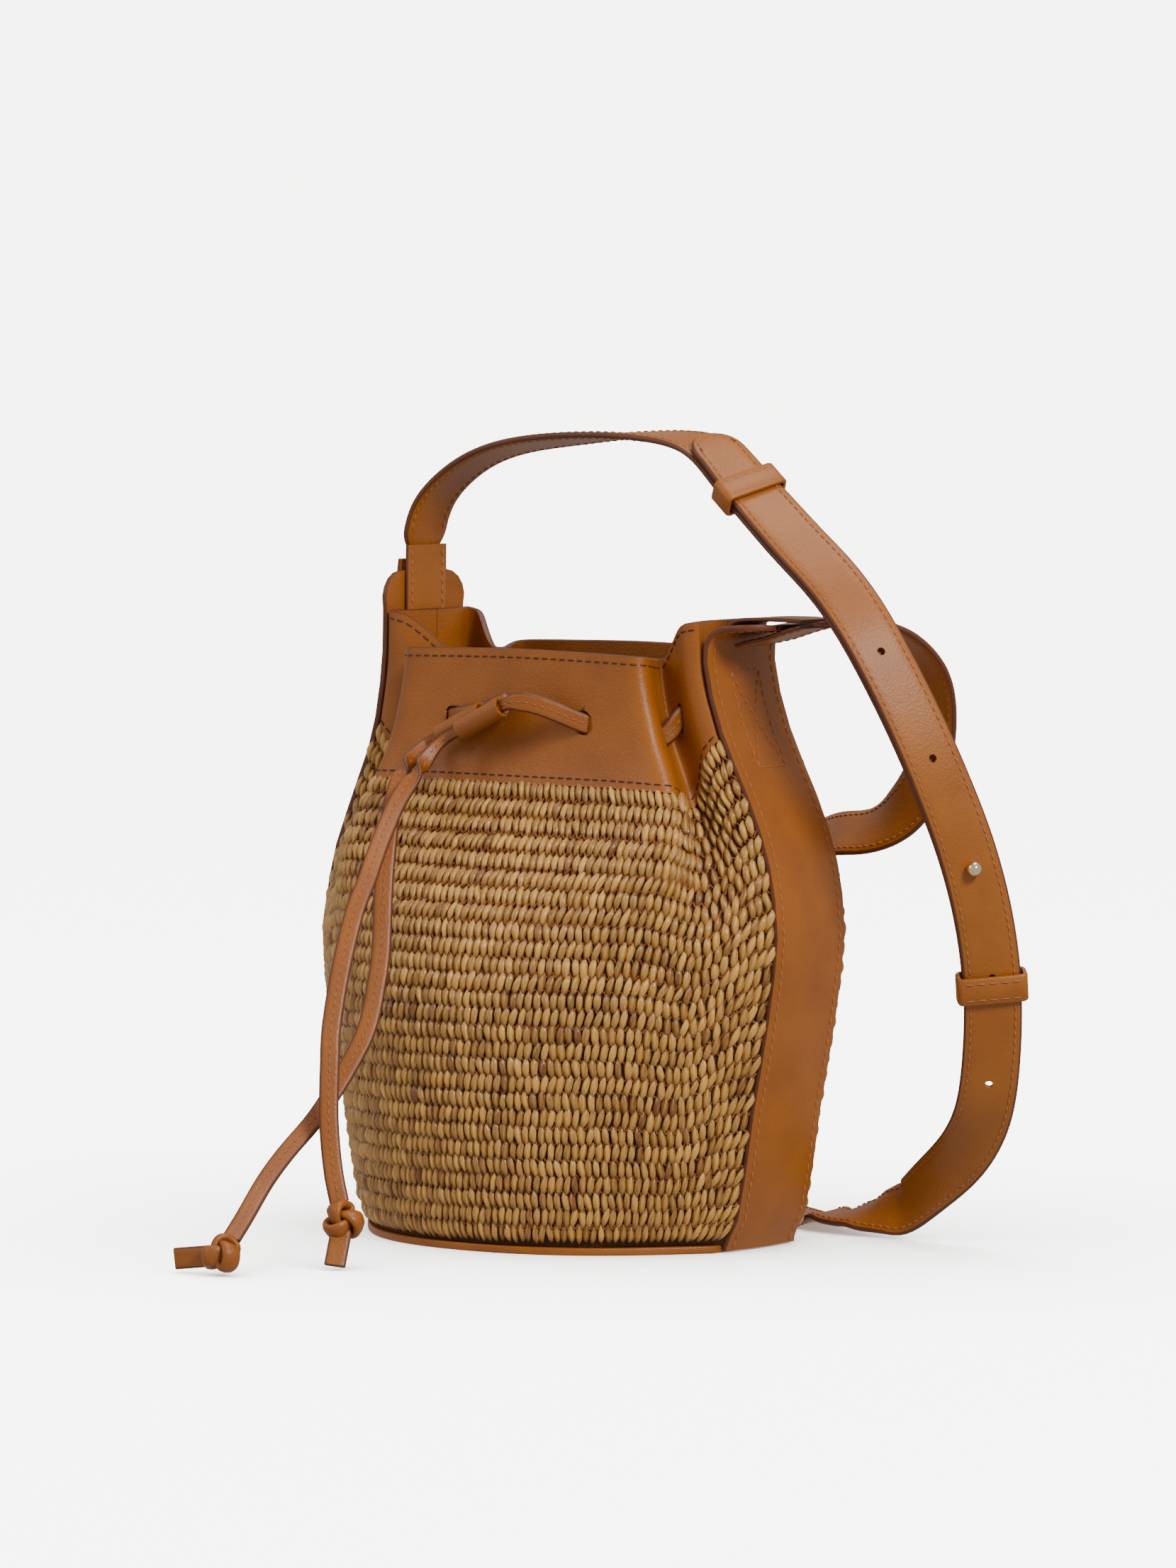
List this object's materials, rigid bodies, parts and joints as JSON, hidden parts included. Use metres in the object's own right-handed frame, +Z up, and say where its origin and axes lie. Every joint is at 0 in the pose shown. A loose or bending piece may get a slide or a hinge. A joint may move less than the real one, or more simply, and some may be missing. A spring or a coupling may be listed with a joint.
{
  "type": "bucket bag",
  "caption": "Bucket bag with a woven straw body, pleated leather collar, gathering drawstring with a sliding toggle, and an adjustable leather shoulder strap",
  "frame": {"origin": "centre of the underside of the base, on the floor", "axes": "+Z up, +X to the gusset whose tab folds out, -Y to the front panel with the slider"},
  "size_m": [0.3363, 0.3645, 0.3497],
  "materials": {
    "weave": "woven straw, semi-gloss",
    "leather": "smooth tan",
    "strap": "smooth tan, painted edges",
    "thong": "smooth tan",
    "lining": "plain cotton",
    "board": "fibre board",
    "metal": "polished pale gold"
  },
  "bodies": {
    "bag": {"front_weave": "weave", "back_weave": "weave", "front_collar": "leather", "back_collar": "leather", "left_gusset": "leather", "right_gusset": "leather", "base_panel": "leather", "base_board": "board", "lining": "lining", "strap_ply_left_inner": "strap", "strap_ply_left_outer": "strap", "strap_ply_right_inner": "strap", "strap_ply_right_outer": "strap", "drawstring": "thong", "drawstring_tail_a": "thong", "drawstring_tail_b": "thong", "knot_a": "thong", "tail_end_a": "thong", "knot_b": "thong", "tail_end_b": "thong"},
    "strap": {"strap_short": "strap", "strap_long": "strap", "keeper_lower": "strap", "stud_ball": "metal", "stud_back": "metal"},
    "keeper": {"keeper_upper": "strap"},
    "slider": {"slider": "thong"}
  },
  "joints": [
    {"name": "strap_swing", "type": "hinge", "parent": "bag", "child": "strap", "pos_m": [-0.0889, 0, 0.305], "axis": [0.9866, 0, -0.163], "range_deg": [0, 25]},
    {"name": "keeper_slide", "type": "slide", "parent": "strap", "child": "keeper", "axis": [0.7817, -0.1251, -0.611], "range_m": [-0.003, 0.006]},
    {"name": "slider_slide", "type": "slide", "parent": "bag", "child": "slider", "axis": [-0.9023, 0, -0.4311], "range_m": [0, 0.008]}
  ]
}
